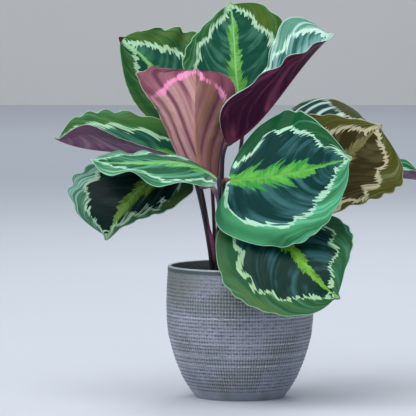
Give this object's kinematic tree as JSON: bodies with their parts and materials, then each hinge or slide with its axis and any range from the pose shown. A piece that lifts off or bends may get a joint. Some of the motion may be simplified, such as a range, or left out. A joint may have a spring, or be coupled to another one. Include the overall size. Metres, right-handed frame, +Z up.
{
  "type": "potted foliage plant",
  "caption": "Potted calathea: broad banded leaves with wavy margins and purple undersides on slender dark stalks, in a ribbed round ceramic pot.",
  "frame": {"origin": "centre of the pot's foot, on the ground", "axes": "+Z up along the pot's axis; -Y towards the viewer of the picture, the side the large leaves face; +X to that viewer's right"},
  "size_m": [0.3776, 0.1982, 0.3943],
  "materials": {
    "pot": "matte grey, fine woven ribs, smooth foot band",
    "soil": "dark crumbly potting mix of peat and bark",
    "leaf": "leathery, soft shine; deep green with pale jagged bands above, wine red below",
    "leaf_bronze": "leathery, olive and bronze with cream bands",
    "stalk": "smooth, dark maroon"
  },
  "bodies": {
    "root": {"pot": "pot", "soil": "soil", "blade_front_right": "leaf", "petiole_front_right": "stalk", "blade_hanging_right": "leaf", "petiole_hanging_right": "stalk", "blade_bronze_right": "leaf_bronze", "petiole_bronze_right": "stalk", "blade_back_right": "leaf", "petiole_back_right": "stalk", "blade_far_right": "leaf", "petiole_far_right": "stalk", "blade_top": "leaf", "petiole_top": "stalk", "blade_top_left": "leaf", "petiole_top_left": "stalk", "blade_upright": "leaf", "petiole_upright": "stalk", "blade_rising_right": "leaf", "petiole_rising_right": "stalk", "blade_upper_left": "leaf", "petiole_upper_left": "stalk", "blade_middle_left": "leaf", "petiole_middle_left": "stalk", "blade_drooping_left": "leaf", "petiole_drooping_left": "stalk"}
  },
  "joints": []
}
